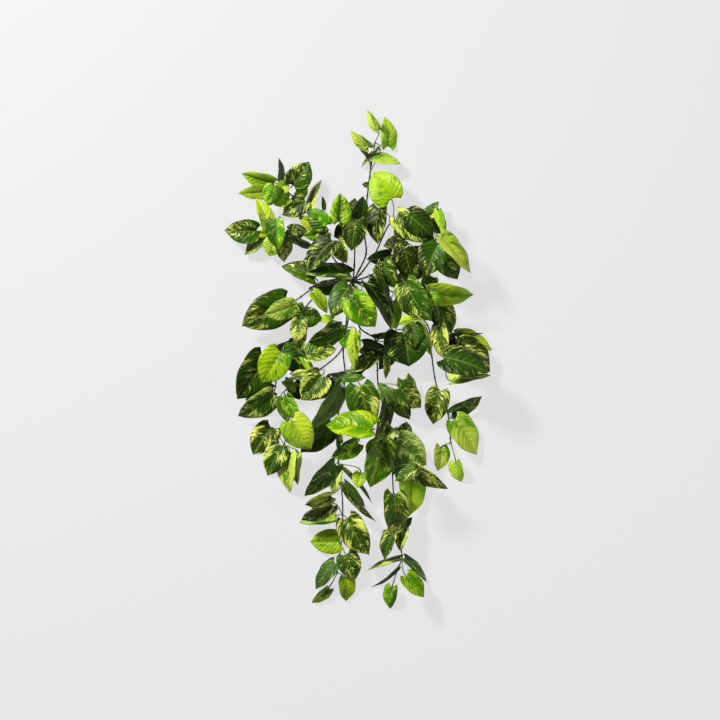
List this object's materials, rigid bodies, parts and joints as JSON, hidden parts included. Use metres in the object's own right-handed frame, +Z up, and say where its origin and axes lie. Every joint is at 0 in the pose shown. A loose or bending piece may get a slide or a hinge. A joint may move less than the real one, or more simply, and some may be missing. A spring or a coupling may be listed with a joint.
{
  "type": "trailing pothos bush",
  "caption": "Bunch of trailing pothos vines without a pot: heart-shaped, lime-marbled green leaves on thin dark stems that spread from one crown, laid flat.",
  "frame": {"origin": "Centre of the bounding box's footprint, on the surface that the bunch lies on.", "axes": "+Z up. +Y from the long trailing ends towards the short upper vines. +X to the right, seen from above with +Y up the page."},
  "size_m": [0.458, 0.853, 0.1126],
  "materials": {
    "leaf": "waxy, dark green marbled with lime",
    "stem": "smooth, dark brown-green",
    "crown": "rough, dark brown"
  },
  "bodies": {
    "root": {"crown": "crown", "sprig_left_1": "leaf", "sprig_left_2": "leaf", "sprig_left_middle_1": "leaf", "sprig_left_middle_2": "leaf", "sprig_left_trailing_1": "leaf", "sprig_left_trailing_2": "leaf", "sprig_left_trailing_3": "leaf", "sprig_left_trailing_4": "leaf", "sprig_long_left_1": "leaf", "sprig_long_left_2": "leaf", "sprig_long_left_3": "leaf", "sprig_long_left_4": "leaf", "sprig_long_left_5": "leaf", "sprig_long_left_6": "leaf", "sprig_long_left_7": "leaf", "sprig_long_left_8": "leaf", "sprig_long_right_1": "leaf", "sprig_long_right_2": "leaf", "sprig_long_right_3": "leaf", "sprig_long_right_4": "leaf", "sprig_long_right_5": "leaf", "sprig_long_right_6": "leaf", "sprig_long_right_7": "leaf", "sprig_lower_left_1": "leaf", "sprig_lower_left_2": "leaf", "sprig_lower_left_3": "leaf", "sprig_lower_left_4": "leaf", "sprig_right_1": "leaf", "sprig_right_2": "leaf", "sprig_right_middle_1": "leaf", "sprig_right_middle_2": "leaf", "sprig_right_outer_1": "leaf", "sprig_right_trailing_1": "leaf", "sprig_right_trailing_2": "leaf", "sprig_right_trailing_3": "leaf", "sprig_top_1": "leaf", "sprig_top_2": "leaf", "sprig_upper_left_1": "leaf", "sprig_upper_left_2": "leaf", "sprig_upper_left_short_1": "leaf", "sprig_upper_left_short_2": "leaf", "sprig_upper_right_1": "leaf", "sprig_upper_right_2": "leaf", "sprig_upward_1": "leaf", "stem_left": "stem", "stem_left_middle": "stem", "stem_left_trailing": "stem", "stem_long_left": "stem", "stem_long_right": "stem", "stem_lower_left": "stem", "stem_right": "stem", "stem_right_middle": "stem", "stem_right_outer": "stem", "stem_right_trailing": "stem", "stem_top": "stem", "stem_upper_left": "stem", "stem_upper_left_short": "stem", "stem_upper_right": "stem", "stem_upward": "stem"}
  },
  "joints": []
}
